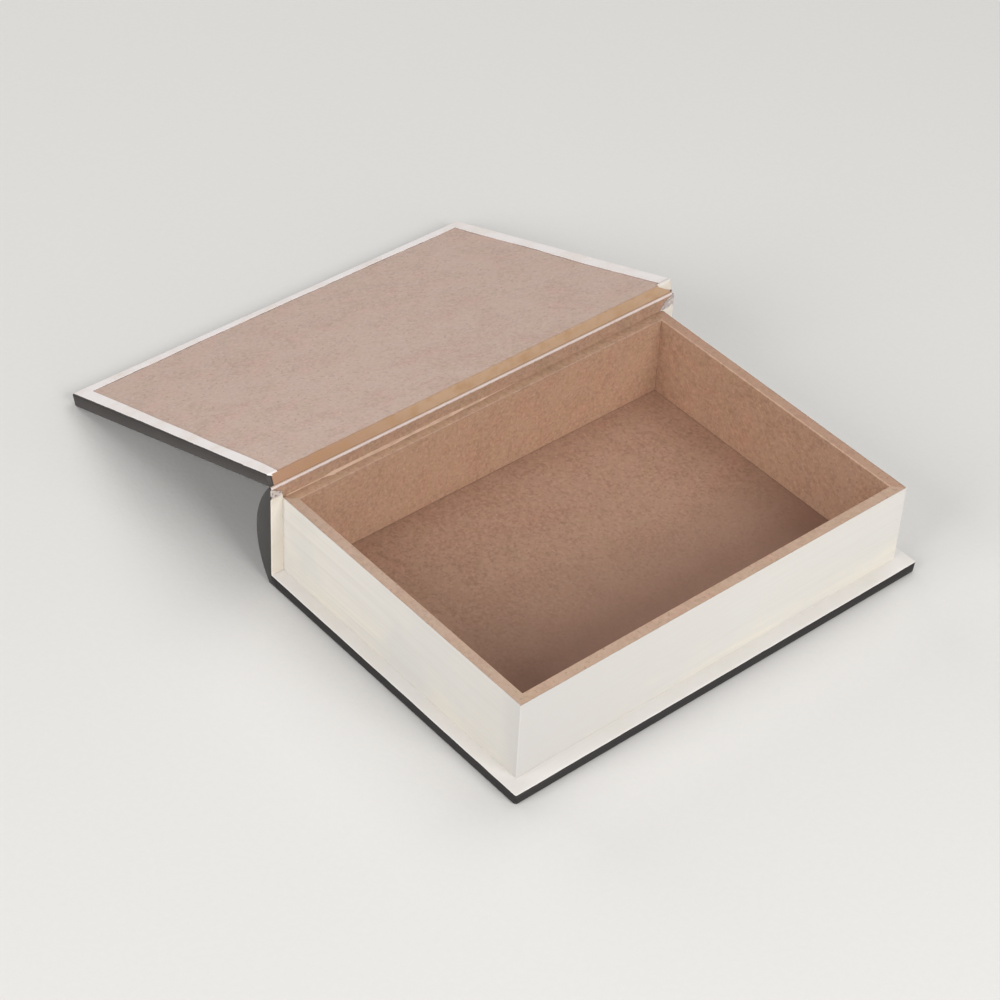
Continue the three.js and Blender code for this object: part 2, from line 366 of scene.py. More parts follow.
@dataclass(frozen=True)
class CoverBorderCloth(UnprintedCloth):
    """The white border round a cover's inner face, where the charcoal print ends on or near the arris."""

    top: float = 7.2
    side: float = 135.0
    printed: str = "#454442"
    print_depth: float = 0.42
    past_hinge: float = 2.0
    print_from: float = 20.0
    print_to: float = 120.0
    print_over: tuple[float, float] = (0.0, 0.0)

    def marks(self, tree: Tree, point: Value) -> Tints:
        """The print's uneven end, below the arris, and over it onto the inner face along one side."""
        x, y, z = add_node(tree, "ShaderNodeSeparateXYZ", {0: point}).outputs
        level = self.top - self.print_depth
        line = mottle(tree, point, 12.0, level - 0.12, level + 0.12)
        below = add_node(tree, "ShaderNodeMath", {0: z, 1: line}, operation="LESS_THAN")
        aside = add_node(tree, "ShaderNodeMath", {0: y}, operation="ABSOLUTE")
        outside = add_node(tree, "ShaderNodeMath", {0: aside, 1: self.side - 0.5}, operation="GREATER_THAN")
        past = add_node(tree, "ShaderNodeMath", {0: x, 1: self.past_hinge}, operation="GREATER_THAN")
        on_edge = add_node(tree, "ShaderNodeMath", {0: outside, 1: past}, operation="MAXIMUM")
        below = add_node(tree, "ShaderNodeMath", {0: below, 1: on_edge}, operation="MULTIPLY")
        start, end = (self.side - reach for reach in self.print_over)
        inputs = {"Value": x, "From Min": self.print_from, "From Max": self.print_to}
        line = add_node(tree, "ShaderNodeMapRange", {**inputs, "To Min": start, "To Max": end})
        line = mottle(tree, point, 6.0, -0.12, 0.12, over=line)
        over = add_node(tree, "ShaderNodeMath", {0: y, 1: line}, operation="GREATER_THAN")
        either = add_node(tree, "ShaderNodeMath", {0: below, 1: over}, operation="MAXIMUM")
        return [(either, linear(self.printed))]


@dataclass(frozen=True)
class SpineEndCloth(UnprintedCloth):
    """The white border at a spine end, greyer above the tray's rim, and with painted light towards its
    foot.
    """

    height: float = 57.6
    pressed: str = "#b3a7a5"
    foot_light_to: float = 8.0
    foot_light_until: float = 48.0

    def marks(self, tree: Tree, point: Value) -> Tints:
        """Grey above the tray's rim, darker in spots, and painted light that makes the cloth paler towards
        the foot.
        """
        height = add_node(tree, "ShaderNodeSeparateXYZ", {0: point}).outputs[2]
        uneven = mottle(tree, point, 2.5, -1.2, 1.2, over=height)
        inputs = {"Value": uneven, "From Min": self.height - 0.6, "From Max": self.height + 0.6}
        above = add_node(tree, "ShaderNodeMapRange", inputs)
        patchy = mottle(tree, point, 2.2, 0.25, 1.15, 1.0)
        grey = add_node(tree, "ShaderNodeMath", {0: above, 1: patchy}, operation="MULTIPLY")
        spots = mottle(tree, point, 1.9, -2.2, 1.3, 1.0)
        dots = add_node(tree, "ShaderNodeMath", {0: above, 1: spots}, operation="MULTIPLY")
        inputs = {"Value": height, "From Min": self.foot_light_to, "From Max": self.foot_light_until}
        lighter = add_node(tree, "ShaderNodeMapRange", {**inputs, "To Min": 1.0, "To Max": 0.0})
        return [
            # painted light: the cloth paler towards the foot
            (lighter, linear(self.white, (1.11, 1.10, 1.09))),
            (grey, linear(self.pressed)),
            (dots, linear(self.pressed, (0.6, 0.6, 0.6))),
        ]


@dataclass(frozen=True)
class FoldCloth(UnprintedCloth):
    """The white fold of cloth that is the hinge. Its UV map runs along it and up it, in millimetres."""

    height: float = 2.2
    # the brown of board dust, darkened as painted shade in the crevice above the fold
    dust: str = "#a58a76"
    # painted shadow in dashes under the fold's foot
    foot_shadow: str = "#6b5a52"

    def marks(self, tree: Tree, point: Value) -> Tints:
        """Board dust with painted shade along the fold's top, and painted shadow in dashes along its foot.
        """
        up = add_node(tree, "ShaderNodeSeparateXYZ", {0: point}).outputs[1]
        inputs = {"Value": up, "From Min": self.height - 0.6, "From Max": self.height - 0.15, "To Max": 0.9}
        dust = add_node(tree, "ShaderNodeMapRange", inputs)
        drift = mottle(tree, point, (3.2, 50.0, 50.0), -0.9, 1.1, 3.0)
        inputs = {"Value": up, "From Min": 0.45, "From Max": 1.05, "To Min": 1.0, "To Max": 0.0}
        foot = add_node(tree, "ShaderNodeMapRange", inputs)
        dashes = add_node(tree, "ShaderNodeMath", {0: drift, 1: foot}, operation="MULTIPLY")
        return [(dust, linear(self.dust)), (dashes, linear(self.foot_shadow))]


@dataclass(frozen=True)
class TuckCloth(UnprintedCloth):
    """The fold tucked over the lid's corner: clean on the lid's face, and cream with glue down its edge."""

    top: float = 7.2
    lighter: str = "#ddd6cf"

    def marks(self, tree: Tree, point: Value) -> Tints:
        """The clean cloth of the lid's face, which turns to cream over the arris."""
        height = add_node(tree, "ShaderNodeSeparateXYZ", {0: point}).outputs[2]
        uneven = mottle(tree, point, 2.5, -0.25, 0.25, over=height)
        inputs = {"Value": uneven, "From Min": self.top - 1.2, "From Max": self.top - 0.1}
        on_face = add_node(tree, "ShaderNodeMapRange", inputs)
        return [(on_face, linear(self.lighter))]


@dataclass(frozen=True)
class DriedGlue(Finish):
    """White wood glue that was squeezed out of a joint and dried with board dust in it."""

    shade: str = "#cbac95"
    dusty: str = "#a5836b"
    dusty_from: float = 0.0
    open_from: float = 112.0
    open_over: float = 9.0

    def pattern(self, tree: Tree, point: Value) -> Look:
        """Uneven dust in the glue, mostly dust from a place on, and a dark open joint near the tail."""
        dust = mottle(tree, point, (3.0, 9.0, 3.0), -0.5, 1.4, 3.0)
        along = add_node(tree, "ShaderNodeSeparateXYZ", {0: point}).outputs[1]
        uneven = mottle(tree, point, 9.0, -12.0, 12.0, over=along)
        inputs = {"Value": uneven, "From Min": self.dusty_from - 22.0, "From Max": self.dusty_from + 12.0}
        brown = add_node(tree, "ShaderNodeMapRange", inputs)
        inputs = {"Value": uneven, "From Min": self.open_from, "From Max": self.open_from + self.open_over}
        dark = add_node(tree, "ShaderNodeMapRange", inputs)
        tints = [
            (dust, linear(self.shade, (0.8, 0.76, 0.72))),
            (brown, linear(self.dusty)),
            (dark, linear(self.dusty, (0.6, 0.55, 0.5))),
        ]
        roughness = mottle(tree, point, 1.5, 0.5, 0.7)
        return Look(linear(self.shade), tints, roughness, mottle(tree, point, 0.8, -0.01, 0.01))


@dataclass(frozen=True)
class LeafPaper(Finish):
    """Paper printed like the edges of leaves: faint level lines, yellower towards the spine, painted light
    that makes it paler there and at the foot, and painted shade at the corner of the head and the fore
    edge.
    """

    low: Vector
    high: Vector
    pale: str = "#d6d2cc"
    yellow_light_up: float = 26.0
    yellow_light_along: float = 40.0
    spine_light_from: float = 20.0
    corner_shade_depth: float = 14.0
    corner_shade_to: float = 30.0

    def pattern(self, tree: Tree, point: Value) -> Look:
        """Level lines of uneven strength. The leaves are 0.1 mm thick, so bundles of them are drawn."""
        lines = mottle(tree, point, (240.0, 240.0, 2.6), -0.15, 0.30)
        lines = mottle(tree, point, (90.0, 90.0, 0.8), -0.25, 0.35, over=lines)
        cool = mottle(tree, point, 38.0, -0.6, 1.0)
        x, y, z = add_node(tree, "ShaderNodeSeparateXYZ", {0: point}).outputs
        foot = {"Value": z, "From Min": self.low.z, "From Max": self.low.z + self.yellow_light_up}
        back = {"Value": x, "From Min": self.low.x, "From Max": self.low.x + self.yellow_light_along}
        wide = {"Value": x, "From Min": self.low.x + self.spine_light_from, "From Max": self.high.x}
        near_foot = add_node(tree, "ShaderNodeMapRange", {**foot, "To Min": 0.8, "To Max": 0.0})
        near_spine = add_node(tree, "ShaderNodeMapRange", {**back, "To Min": 0.6, "To Max": 0.0})
        painted_spine_light = add_node(tree, "ShaderNodeMapRange", {**wide, "To Min": 1.0, "To Max": 0.0})
        either = add_node(tree, "ShaderNodeMath", {0: near_foot, 1: near_spine}, operation="MAXIMUM")
        streaks = mottle(tree, point, (46.0, 46.0, 4.5), 0.0, 1.0)
        yellowing_and_light = add_node(tree, "ShaderNodeMath", {0: either, 1: streaks}, operation="MULTIPLY")
        front = {"Value": x, "From Min": self.high.x - self.corner_shade_depth, "From Max": self.high.x}
        near_front = add_node(tree, "ShaderNodeMapRange", front)
        head = {"Value": y, "From Min": self.low.y, "From Max": self.corner_shade_to}
        near_head = add_node(tree, "ShaderNodeMapRange", {**head, "To Min": 1.0, "To Max": 0.0})
        painted_corner_shade = add_node(tree, "ShaderNodeMath", {0: near_front, 1: near_head}, operation="MULTIPLY")
        tints = [
            # painted light: paler towards the spine
            (painted_spine_light, linear(self.pale, (1.12, 1.11, 1.09))),
            # yellow streaks near the foot and the spine, with painted light that makes them paler
            (yellowing_and_light, linear(self.pale, (1.18, 1.15, 1.03))),
            (cool, linear(self.pale, (1.0, 1.015, 1.03))),
            # painted shade towards the corner of the head and the fore edge
            (painted_corner_shade, linear(self.pale, (0.90, 0.905, 0.93))),
            (lines, linear(self.pale, (0.94, 0.93, 0.915))),
        ]
        roughness = mottle(tree, point, (90.0, 90.0, 0.8), 0.74, 0.82)
        relief = mottle(tree, point, (90.0, 90.0, 0.8), -0.006, 0.006)
        return Look(linear(self.pale), tints, roughness, relief)

    def constants(self) -> dict[str, float]:
        """Matt paper."""
        return {"Specular IOR Level": 0.25}


@dataclass(frozen=True)
class StudioPaper(Finish):
    """A roll of pale background paper."""

    shade: str = "#dad8d5"

    def pattern(self, tree: Tree, point: Value) -> Look:
        """Nearly even, so that nothing on it draws the eye."""
        tooth = mottle(tree, point, 3.0, 0.0, 0.04)
        roughness = mottle(tree, point, 3.0, 0.9, 0.94)
        return Look(linear(self.shade), [(tooth, linear("#ffffff"))], roughness, tooth)


class Board(Enum):
    """The surfaces of fibreboard that show on the box, cut from the same sheets, each in its own shade."""

    WALL = Fibreboard("mdf_wall_face", "#b6937b")
    FLOOR = FloorBoard("mdf_floor_face", "#a88671")
    HEAD_RIM = Fibreboard("mdf_head_rim", "#b59b89", (2.2, 2.2, 0.6), grain=0.5)
    TAIL_RIM = Fibreboard("mdf_tail_rim", "#ac8b77", (2.2, 2.2, 0.6), grain=0.5)
    FORE_RIM = Fibreboard("mdf_fore_edge_rim", "#b69a86", (2.2, 2.2, 0.6), grain=0.5)
    SPINE_RIM = Fibreboard("mdf_spine_rim", "#ae8e76", (2.2, 2.2, 0.6))
    ARRIS = Fibreboard("mdf_rubbed_arris", "#c2a28b", strength=0.6)
    SPINE_ARRIS = Fibreboard("mdf_spine_wall_arris", "#b1917d", strength=0.8)
    LID = LidBoard("mdf_lid_face", "#c4aca0", grain=0.55)
    SPINE = Fibreboard("mdf_spine_face", "#b0907a", 1.6, strength=1.2)


def corners(*nodes: str) -> tuple[Vector, Vector]:
    """The lowest and highest corner of CAD nodes together, in millimetres."""
    boxes = [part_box(node) for node in nodes]
    low = Vector(min(box[0][i] for box in boxes) for i in range(3))
    high = Vector(max(box[1][i] for box in boxes) for i in range(3))
    return low / MM, high / MM


def wander(along: float, seed: float, pitch: float) -> float:
    """A smooth random value from about -1 to 1, that changes over the pitch."""
    return noise.noise(Vector((along / pitch, seed, 0.37 * seed)))


def at_steps(values: tuple[float, ...], share: float) -> float:
    """The value at a share of the way through values that stand at equal steps."""
    place = min(max(share, 0.0), 1.0) * (len(values) - 1)
    i = min(int(place), len(values) - 2)
    return values[i] + (values[i + 1] - values[i]) * (place - i)


def at_heights(table: tuple[tuple[float, float], ...], height: float) -> float:
    """The value at a height, between rows of a height and a value that rise from the lowest."""
    for (start, before), (end, after) in zip(table, table[1:]):
        if height <= end:
            return before + (after - before) * max(height - start, 0.0) / (end - start)
    return table[-1][1]


def rounding(radius: float, place: float) -> float:
    """How far a quarter round lies back at a place on one side of the corner that it takes off."""
    short = max(radius - place, 0.0)
    return radius - math.sqrt(radius * radius - short * short)


def new_piece(name: str, points: list[Vector], faces: list[tuple[int, ...]], placing: Matrix) -> Object:
    """Makes a mesh piece whose faces point outwards.

    Args:
        name: the piece's name.
        points: its corners in millimetres, in the sub-assembly's own frame.
        faces: the numbers of each face's corners.
        placing: from that frame to the model's.

    Returns:
        The new object, at the origin of the model's frame.
    """
    shape = bmesh.new()
    corners_made = [shape.verts.new(placing @ (p * MM)) for p in points]
    for face in faces:
        shape.faces.new([corners_made[i] for i in face])
    bmesh.ops.remove_doubles(shape, verts=shape.verts, dist=0.002 * MM)
    bmesh.ops.recalc_face_normals(shape, faces=shape.faces)
    middle = sum((v.co for v in shape.verts), Vector()) / len(shape.verts)
    if sum((f.calc_center_median() - middle).dot(f.normal) * f.calc_area() for f in shape.faces) < 0:
        bmesh.ops.reverse_faces(shape, faces=shape.faces)
    return shape_piece(name, shape)


def shape_piece(name: str, shape: bmesh.types.BMesh) -> Object:
    """A piece made of a finished shape."""
    mesh = bpy.data.meshes.new(name)
    shape.to_mesh(mesh)
    shape.free()
    piece = bpy.data.objects.new(name, mesh)
    bpy.context.scene.collection.objects.link(piece)
    return piece


def smooth(piece: Object, angle: float = 38.0) -> Object:
    """Shades a piece smooth, apart from edges sharper than the angle."""
    piece.data.shade_smooth()
    piece.data.set_sharp_from_angle(angle=math.radians(angle))
    return piece


def loft(name: str, rings: list[list[Vector]], placing: Matrix) -> Object:
    """A closed piece through rings that all have the same number of points, with both ends filled."""
    count = len(rings[0])
    points = [point for ring in rings for point in ring]
    faces = [tuple(range(count)), tuple(range(len(points) - count, len(points)))]
    for start in range(0, len(points) - count, count):
        for i in range(count):
            j = (i + 1) % count
            faces.append((start + i, start + j, start + count + j, start + count + i))
    return smooth(new_piece(name, points, faces, placing))


def glued_sheet(
    name: str, rows: list[list[Vector]], placing: Matrix, thickness: float, filled: bool = False
) -> Object:
    """A sheet of covering that is glued over a board.

    Args:
        name: the piece's name.
        rows: lines of as many points each, along the sheet's outer face, in millimetres.
        placing: from the sub-assembly's own frame to the model's.
        thickness: the covering's thickness in millimetres, which goes inwards.
        filled: whether the first row goes round a flat part of the sheet.

    Returns:
        The new object, with its thickness as a live modifier.
    """
    count = len(rows[0])
    points = [point for row in rows for point in row]
    faces = [tuple(range(count))] if filled else []
    for start in range(0, len(points) - count, count):
        for i in range(start, start + count - 1):
            faces.append((i, i + 1, count + i + 1, count + i))
    sheet = smooth(new_piece(name, points, faces, placing))
    solidify = sheet.modifiers.new("thickness", "SOLIDIFY")
    solidify.thickness = thickness * MM
    solidify.offset = -1.0
    solidify.use_even_offset = True
    return sheet


def dress(piece: Object, *materials: bpy.types.Material) -> None:
    """Gives a piece its materials, in the order of its slots."""
    while len(piece.material_slots) < len(materials):
        piece.data.materials.append(None)
    for place, material in zip(piece.material_slots, materials):
        place.material = material


def settle(piece: Object, body: str, slot: str, *nodes: str) -> None:
    """Hangs a finished piece on its body, in place of CAD nodes.

    Args:
        piece: the finished piece.
        body: the CAD body that it moves with.
        slot: the record's material slot that its finish belongs to; not used.
        nodes: the CAD nodes that it stands for.
    """
    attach(piece, body)
    if nodes:
        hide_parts(*nodes)


def merged_copy(node: str, placing: Matrix) -> bmesh.types.BMesh:
    """A CAD node's shape in a sub-assembly's own frame, its loose triangles merged into whole faces."""
    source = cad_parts[node].data
    back = placing.inverted()
    bare = bpy.data.meshes.new(node)
    faces = [tuple(p.vertices) for p in source.polygons]
    bare.from_pydata([back @ v.co for v in source.vertices], [], faces)
    shape = bmesh.new()
    shape.from_mesh(bare)
    bpy.data.meshes.remove(bare)
    bmesh.ops.remove_doubles(shape, verts=shape.verts, dist=0.001 * MM)
    bmesh.ops.dissolve_limit(shape, angle_limit=math.radians(0.5), verts=shape.verts, edges=shape.edges)
    return shape


def ease(shape: bmesh.types.BMesh, edges: list, width: float, steps: int, material: int) -> None:
    """Rounds edges over a width in millimetres. The new faces take the material's number."""
    bmesh.ops.bevel(
        shape, geom=edges, offset=width * MM, offset_type="OFFSET", segments=steps, profile=0.5,
        affect="EDGES", material=material, clamp_overlap=True,
    )


def sharp_edges(shape: bmesh.types.BMesh) -> list:
    """The edges of a shape where its faces turn by more than 30 degrees."""
    return [e for e in shape.edges if len(e.link_faces) == 2 and e.calc_face_angle() > math.radians(30)]


@dataclass(frozen=True)
class Station:
    """A place along a turned-in border: its point on the arris, the way in from there, and the way up."""

    arris: Vector
    across: Vector
    up: Vector


@dataclass
class Border:
    """The turned-in border of a covering: a thin sheet that comes over an arris and is glued down."""

    thickness: float = 0.5
    arris_radius: float = 0.42
    cut_round: float = 0.12
    lift: float = 0.05
    seed: float = 1.0

    def section(self, station: Station, along: float) -> list[Vector]:
        """The sheet's outline across the border, from under its outer edge round to its cut edge."""
        width = station.across.length
        inward = station.across / width
        radius = self.arris_radius
        turn = [math.pi / 2 * i / 4 for i in range(5)]
        shares = (0.2, 0.45, 0.7)
        flat = [(radius + (width - radius) * share, self.ripple(along, share)) for share in shares]
        outline = [(0.0, -self.thickness)]
        outline += [(radius * (1 - math.cos(a)), radius * (math.sin(a) - 1)) for a in turn]
        outline += flat
        outline += [(width - self.cut_round, 0.0), (width, -self.cut_round), (width, -self.thickness)]
        return [station.arris + inward * q + station.up * h for q, h in outline]

    def ripple(self, along: float, share: float) -> float:
        """How far the glue holds the sheet off level, in millimetres."""
        return -self.lift * (0.5 + 0.5 * wander(along, self.seed + share, 9.0))

    def build(self, name: str, stations: list[Station], placing: Matrix) -> Object:
        """Lofts the border through its stations."""
        along = 0.0
        rings = []
        for before, station in zip([stations[0], *stations], stations):
            along += (station.arris - before.arris).length
            rings.append(self.section(station, along))
        return loft(name, rings, placing)


@dataclass(frozen=True)
class BorderWidths:
    """How wide a cover's three turned-in borders were cut by hand, in millimetres, at equal steps.

    In the cover's own frame, the sides' widths go from the hinge to the free edge, and the fore edge's
    from the high side to the low side.
    """

    low_side: tuple[float, ...]
    high_side: tuple[float, ...]
    fore_edge: tuple[float, ...]


@dataclass
class Cover:
    """A cover board with its charcoal covering and the covering's white border on the inner face.

    Its own frame has the hinge edge at x = 0 and the outer face at z = 0, as in the CAD source.
    """

    name: str
    body: str
    facing: int
    widths: BorderWidths
    shade: str
    white: str = "#e4dfda"
    soiled: tuple[float, float, float] = (0.93, 0.89, 0.84)
    waver: float = 0.15
    corner_radius: float = 2.5
    border_corner: float = 2.5
    corner_steps: int = 8
    outer_round: float = 1.2
    covering: float = 0.5
    seam: float = 6.65
    step: float = 4.0
    seed: float = 1.0
    hinge_round: float = 0.0
    hinge_corner: float = 0.0
    print_over: tuple[float, float] = (0.0, 0.0)

    def __post_init__(self) -> None:
        """Finds the cover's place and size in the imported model."""
        self.placing = self.find_placing()
        back = self.placing.inverted()
        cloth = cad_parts[f"{self.name}_cover_cloth"].data
        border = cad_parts[f"{self.name}_turn_in_fore_edge"].data
        points = [back @ v.co / MM for mesh in (cloth, border) for v in mesh.vertices]
        self.low = Vector(min(p[i] for p in points) for i in range(3))
        self.high = Vector(max(p[i] for p in points) for i in range(3))

    def find_placing(self) -> Matrix:
        """The way from the cover's own frame to the model's, from the board's inner face and the cloth."""
        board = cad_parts[f"{self.name}_board"].data
        upward = [p for p in board.polygons if p.normal.z > 0.5]
        normal = max(upward, key=lambda p: p.area).normal.normalized()
        across = Vector((normal.z, 0.0, -normal.x)) * self.facing
        along = Vector((0.0, float(self.facing), 0.0))
        cloth = [v.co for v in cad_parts[f"{self.name}_cover_cloth"].data.vertices]
        corner = across * min(p.dot(across) for p in cloth) + normal * min(p.dot(normal) for p in cloth)
        return Matrix.Translation(corner) @ Matrix((across, along, normal)).transposed().to_4x4()

    def outline(self, radius: float, inset: float = 0.0) -> list[Vector]:
        """The points round the cover, from the hinge along the high side, and back along the low side.

        Args:
            radius: how round the two free corners are, in millimetres.
            inset: how far inside the cover's edge the points lie, in millimetres.

        Returns:
            As many points for every radius and inset, at z = 0.
        """
        x, y = self.high.x, self.high.y
        centre = Vector((x - radius, y - radius, 0))
        start = max(self.hinge_round, self.hinge_corner)
        steps = round((x - self.corner_radius - start) / self.step)
        places = [start * i / 8 for i in range(8)] if start else []
        places += [start + (centre.x - start) * i / steps for i in range(steps + 1)]
        high = [Vector((p, y - inset - rounding(self.hinge_corner, p), 0)) for p in places]
        turns = [math.pi / 2 * i / self.corner_steps for i in range(1, self.corner_steps)]
        high += [centre + Vector((math.sin(a), math.cos(a), 0)) * (radius - inset) for a in turns]
        steps = round((y - self.corner_radius) / self.step)
        high += [Vector((x - inset, centre.y * (1 - i / steps), 0)) for i in range(steps)]
        low = [Vector((p.x, -p.y, 0)) for p in reversed(high)]
        return [*high, Vector((x - inset, 0, 0)), *low]

    def cut_point(self, point: Vector) -> Vector:
        """The point of the border's cut edge that lies across from a point of the outline."""
        x, y = self.high.x, self.high.y
        widths = self.widths.high_side if point.y > 0 else self.widths.low_side
        fore_width = self.widths.fore_edge[0 if point.y > 0 else -1]
        corner = Vector((x - fore_width, math.copysign(y - widths[-1], point.y), 0))
        centre = Vector((x - self.border_corner, y - self.border_corner, 0))
        if point.x <= centre.x:
            share = point.x / centre.x
            cut = Vector((corner.x * share, math.copysign(y - at_steps(widths, share), point.y), 0))
        elif abs(point.y) >= centre.y:
            cut = corner
        else:
            share = (centre.y - point.y) / (2 * centre.y)
            start, end = y - self.widths.high_side[-1], self.widths.low_side[-1] - y
            cut = Vector((x - at_steps(self.widths.fore_edge, share), start + (end - start) * share, 0))
        off = wander(cut.x, self.seed, 16.0) + 0.6 * wander(cut.x, self.seed + 5, 4.0)
        aside = wander(cut.y, self.seed + 9, 16.0) + 0.6 * wander(cut.y, self.seed + 7, 4.0)
        return cut + Vector((self.waver * aside, self.waver * off, 0))

    def stations(self) -> list[Station]:
        """The places along the border. It follows the board down over its worn hinge edge."""
        up = Vector((0, 0, 1))
        places = []
        for point in self.outline(self.border_corner):
            lift = up * (self.high.z - rounding(self.hinge_round, point.x))
            places.append(Station(point + lift, self.cut_point(point) - point, up))
        return places

    def build(self) -> None:
        """Builds the charcoal covering and its white border."""
        name = f"{self.name}_turned_in_border"
        border = Border(seed=self.seed).build(name, self.stations(), self.placing)
        cloth = CoverBorderCloth(
            f"unprinted_cloth_{self.name}", self.white, self.soiled, top=self.high.z, side=self.high.y,
            printed=self.shade, print_over=self.print_over,
        )
        dress(border, cloth.material(self.placing))
        nodes = [f"{self.name}_turn_in_{side}" for side in ("head", "tail", "fore_edge")]
        settle(border, self.body, "white_flap", *nodes)
        turns = [math.pi / 2 * i / 5 for i in range(6)]
        rows = []
        for a in turns:
            inset, z = self.outer_round * (1 - math.sin(a)), self.outer_round * (1 - math.cos(a))
            rows.append([p + Vector((0, 0, z)) for p in self.outline(self.corner_radius, inset)])
        seam = self.outline(self.border_corner)
        rows.append([p + Vector((0, 0, self.seam - rounding(self.hinge_round, p.x))) for p in seam])
        wrap = glued_sheet(f"{self.name}_covering", rows, self.placing, self.covering, filled=True)
        coated = CoatedCloth(f"coated_cloth_{self.name}", self.low, self.high, self.shade)
        dress(wrap, coated.material(self.placing))
        settle(wrap, self.body, "dark_covering", f"{self.name}_cover_cloth")


@dataclass
class Base(Cover):
    """The lower cover, whose board is also the tray's floor."""

    white: str = "#e0dcd8"
    soiled: tuple[float, float, float] = (0.975, 0.975, 0.95)
    corner_radius: float = 1.8
    border_corner: float = 0.8

    def build(self) -> None:
        """Builds the cover and dresses the floor."""
        super().build()
        dress(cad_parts["base_board"], Board.FLOOR.value.material(self.placing))


@dataclass
class Lid(Cover):
    """The upper cover, which is the lid. Its board is bare inside and along its hinge edge."""

    white: str = "#efe9e7"
    hinge_round: float = 0.9
    hinge_corner: float = 2.4
    tuck_face: tuple[float, ...] = (0.9, 1.9, 2.5, 2.7, 2.8, 2.8)
    tuck_foot: tuple[float, ...] = (6.0, 4.9, 3.6, 2.6, 1.7, 0.9)
    tuck_from: float = 125.1
    tuck_to: float = 134.6
    tuck_steps: int = 14
    tuck_least: float = 0.09
    tuck_swell: float = 0.13

    def build(self) -> None:
        """Builds the cover, the board and the corner tuck."""
        super().build()
        self.build_board()
        self.build_tuck()

    def build_board(self) -> None:
        """Builds the board, whose hinge arris and hinge corners were rubbed round."""
        shape = merged_copy("lid_board", self.placing)
        low = min(v.co.x for v in shape.verts)
        high = max(v.co.z for v in shape.verts)
        at_hinge = [e for e in shape.edges if all(abs(v.co.x - low) < 0.01 * MM for v in e.verts)]
        upright = [e for e in at_hinge if abs(e.verts[0].co.z - e.verts[1].co.z) > 1.0 * MM]
        ease(shape, upright, self.hinge_corner, 6, -1)
        arris = [
            e for e in sharp_edges(shape)
            if all(v.co.x < low + 1.3 * MM and abs(v.co.z - high) < 0.01 * MM for v in e.verts)
        ]
        ease(shape, arris, self.hinge_round, 4, -1)
        bmesh.ops.transform(shape, matrix=self.placing, verts=shape.verts)
        board = smooth(shape_piece("lid_bare_board", shape), 25.0)
        dress(board, Board.LID.value.material(self.placing))
        settle(board, self.body, "lid_board", "lid_board")

    def build_tuck(self) -> None:
        """Builds the fold of covering that is tucked over the hinge edge at the tail corner."""
        rings = []
        for i in range(self.tuck_steps + 1):
            share = i / self.tuck_steps
            y = -(self.tuck_from + (self.tuck_to - self.tuck_from) * share)
            swell = math.sin(math.pi * min(share * 1.15 + 0.08, 1.0)) ** 0.7
            puff = self.tuck_least + self.tuck_swell * swell
            back = rounding(self.hinge_corner, self.high.y + y)
            rings.append([Vector((x, y, z)) for x, z in self.tuck_section(share, puff, back)])
        tuck = loft("lid_corner_tuck", rings, self.placing)
        cloth = TuckCloth("unprinted_cloth_tuck", "#dad2c6", (0.9, 0.88, 0.84), top=self.high.z)
        dress(tuck, cloth.material(self.placing))
        settle(tuck, self.body, "white_flap")

    def tuck_section(self, share: float, puff: float, back: float) -> list[tuple[float, float]]:
        """The tuck's outline across the hinge arris, as x and z.

        Args:
            share: how far along the tuck it lies, from its inner edge to the lid's corner.
            puff: how far it stands off the board and the border, in millimetres.
            back: how far the lid's rounded corner lies back there.

        Returns:
            The points, round the outside and back along the inside.
        """
        top, radius = self.high.z, self.hinge_round
        face, foot = at_steps(self.tuck_face, share), at_steps(self.tuck_foot, share)
        turns = [math.pi / 2 * i / 4 for i in range(5)]
        outside = [(face + 0.3, top - 0.02), (face, top + 0.2 * puff)]
        reach = radius + puff
        centre = back + radius, top - radius
        outside += [(centre[0] - reach * math.sin(a), centre[1] + reach * math.cos(a)) for a in turns]
        outside += [(back - puff, foot + 0.35), (back - 0.8 * puff, foot + 0.08), (back - 0.2 * puff, foot)]
        inside = [(back + 0.02, foot + 0.02), (back + 0.02, top - radius - 0.05), (face, top - 0.45)]
        return [*outside, *inside]


